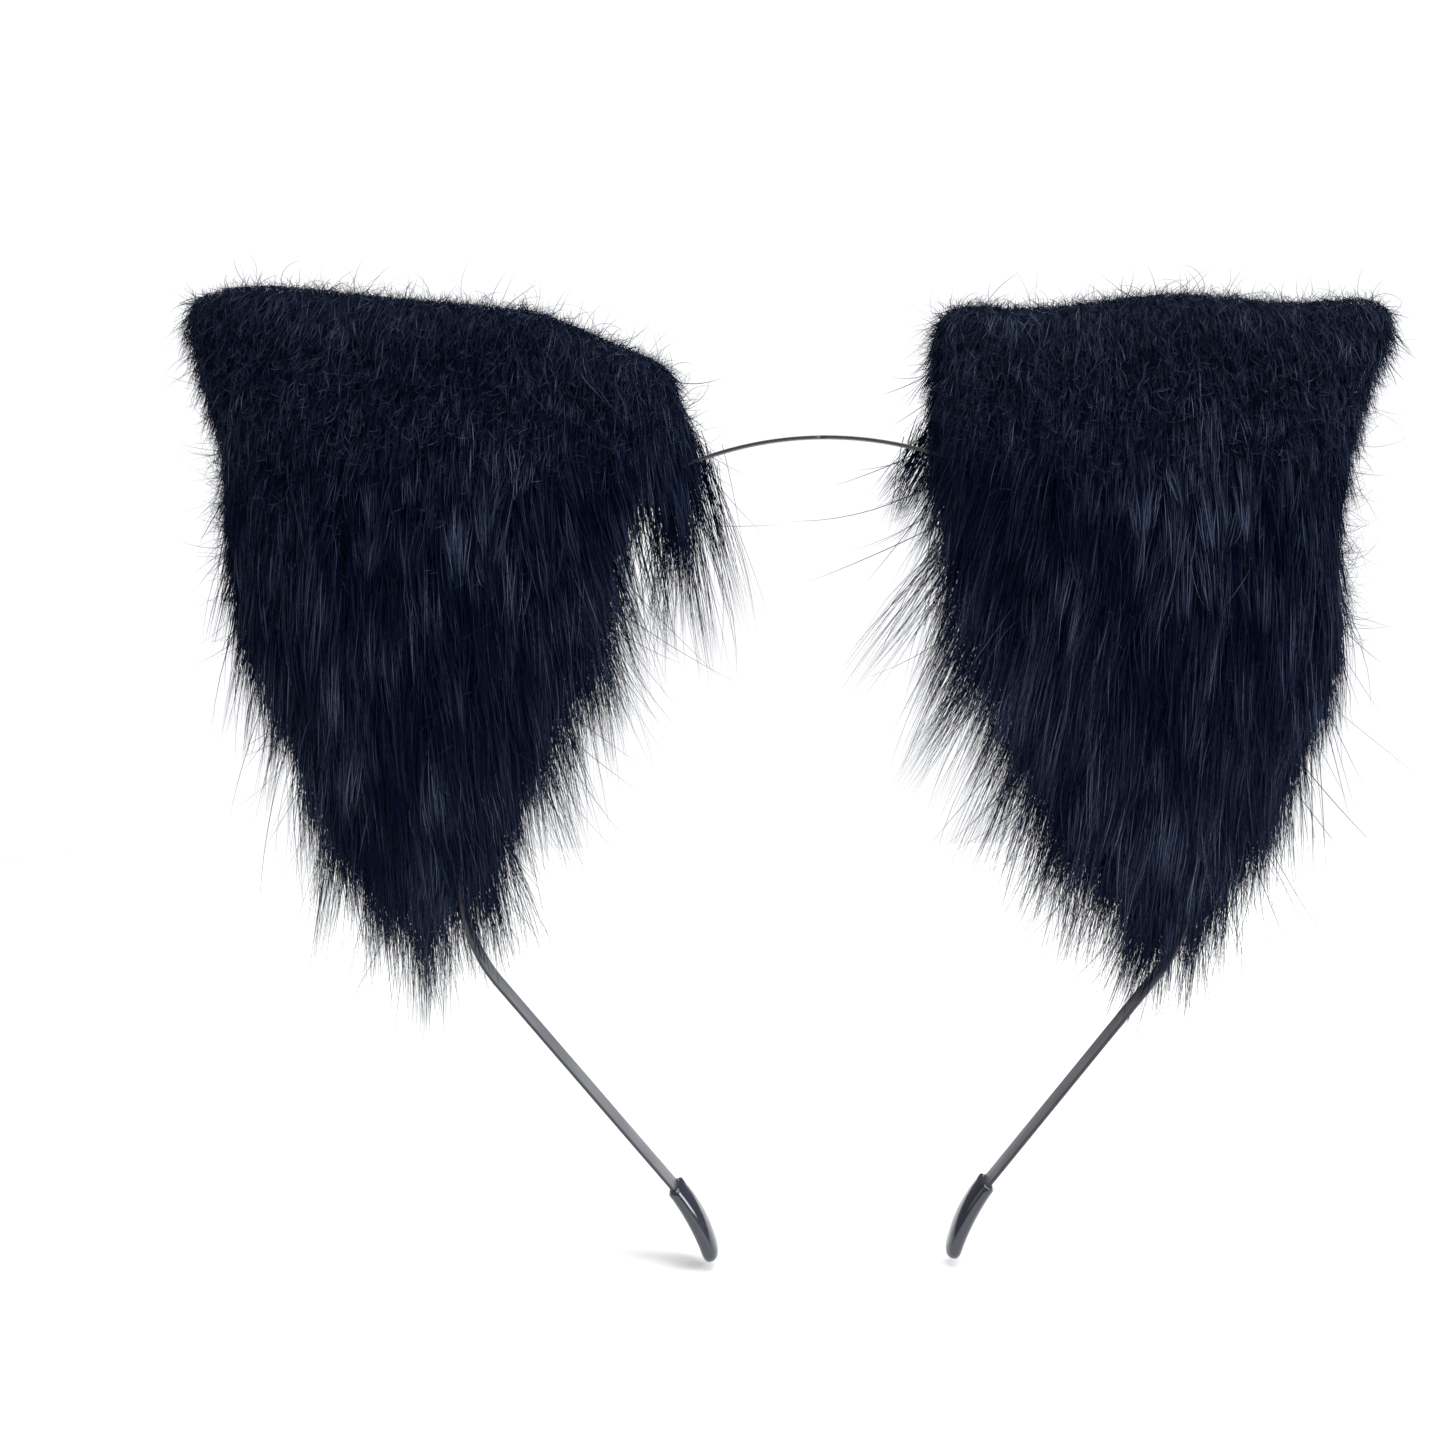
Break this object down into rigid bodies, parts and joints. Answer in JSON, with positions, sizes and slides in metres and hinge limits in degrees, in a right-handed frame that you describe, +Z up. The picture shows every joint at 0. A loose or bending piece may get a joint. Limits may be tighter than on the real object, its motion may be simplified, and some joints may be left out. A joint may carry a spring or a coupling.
{
  "type": "animal ears headband",
  "caption": "Springy flat steel headband with soft tip caps and a long-haired fur animal ear sewn to each side, each ear wired so that it bends forwards or backwards.",
  "frame": {"origin": "middle of the inner face of the steel strip at the top of the head", "axes": "+Z up as worn, +X to the wearer's left, the wearer looks towards -Y"},
  "size_m": [0.2178, 0.024, 0.1751],
  "materials": {
    "painted_steel": "semi-gloss grey enamel on flat spring steel",
    "vinyl": "glossy dipped soft vinyl",
    "long_fur": "long-pile black faux fur",
    "felt": "matt black felt",
    "spring_wire": "drawn bright wire",
    "thread": "twisted polyester sewing thread"
  },
  "bodies": {
    "crown": {"band_crown": "painted_steel"},
    "left_side": {"band_left": "painted_steel", "tip_cap_left": "vinyl", "base_sleeve_left": "felt", "base_tab_left": "felt", "fur_base_front_left": "long_fur", "fur_base_back_left": "long_fur", "stitch_left_1": "thread", "stitch_left_2": "thread", "stitch_left_3": "thread", "stitch_left_4": "thread"},
    "left_ear": {"felt_front_left": "felt", "felt_back_left": "felt", "fur_front_left": "long_fur", "fur_back_left": "long_fur", "ear_wire_left": "spring_wire", "edge_seam_left": "thread"},
    "right_side": {"band_right": "painted_steel", "tip_cap_right": "vinyl", "base_sleeve_right": "felt", "base_tab_right": "felt", "fur_base_front_right": "long_fur", "fur_base_back_right": "long_fur", "stitch_right_1": "thread", "stitch_right_2": "thread", "stitch_right_3": "thread", "stitch_right_4": "thread"},
    "right_ear": {"felt_front_right": "felt", "felt_back_right": "felt", "fur_front_right": "long_fur", "fur_back_right": "long_fur", "ear_wire_right": "spring_wire", "edge_seam_right": "thread"}
  },
  "joints": [
    {"name": "left_leg_flex", "type": "hinge", "parent": "crown", "child": "left_side", "pos_m": [0.0216, 0, -0.00329], "axis": [0, -1, 0], "range_deg": [-5, 20], "stiffness_Nm_per_rad": 1.5},
    {"name": "right_leg_flex", "type": "hinge", "parent": "crown", "child": "right_side", "pos_m": [-0.0216, 0, -0.00329], "axis": [0, 1, 0], "range_deg": [-5, 20], "stiffness_Nm_per_rad": 1.5},
    {"name": "left_ear_tilt", "type": "hinge", "parent": "left_side", "child": "left_ear", "pos_m": [0.06692, 0, -0.03142], "axis": [-0.475, 0, 0.88], "range_deg": [-20, 20]},
    {"name": "right_ear_tilt", "type": "hinge", "parent": "right_side", "child": "right_ear", "pos_m": [-0.06692, 0, -0.03142], "axis": [0.475, 0, 0.88], "range_deg": [-20, 20]}
  ]
}
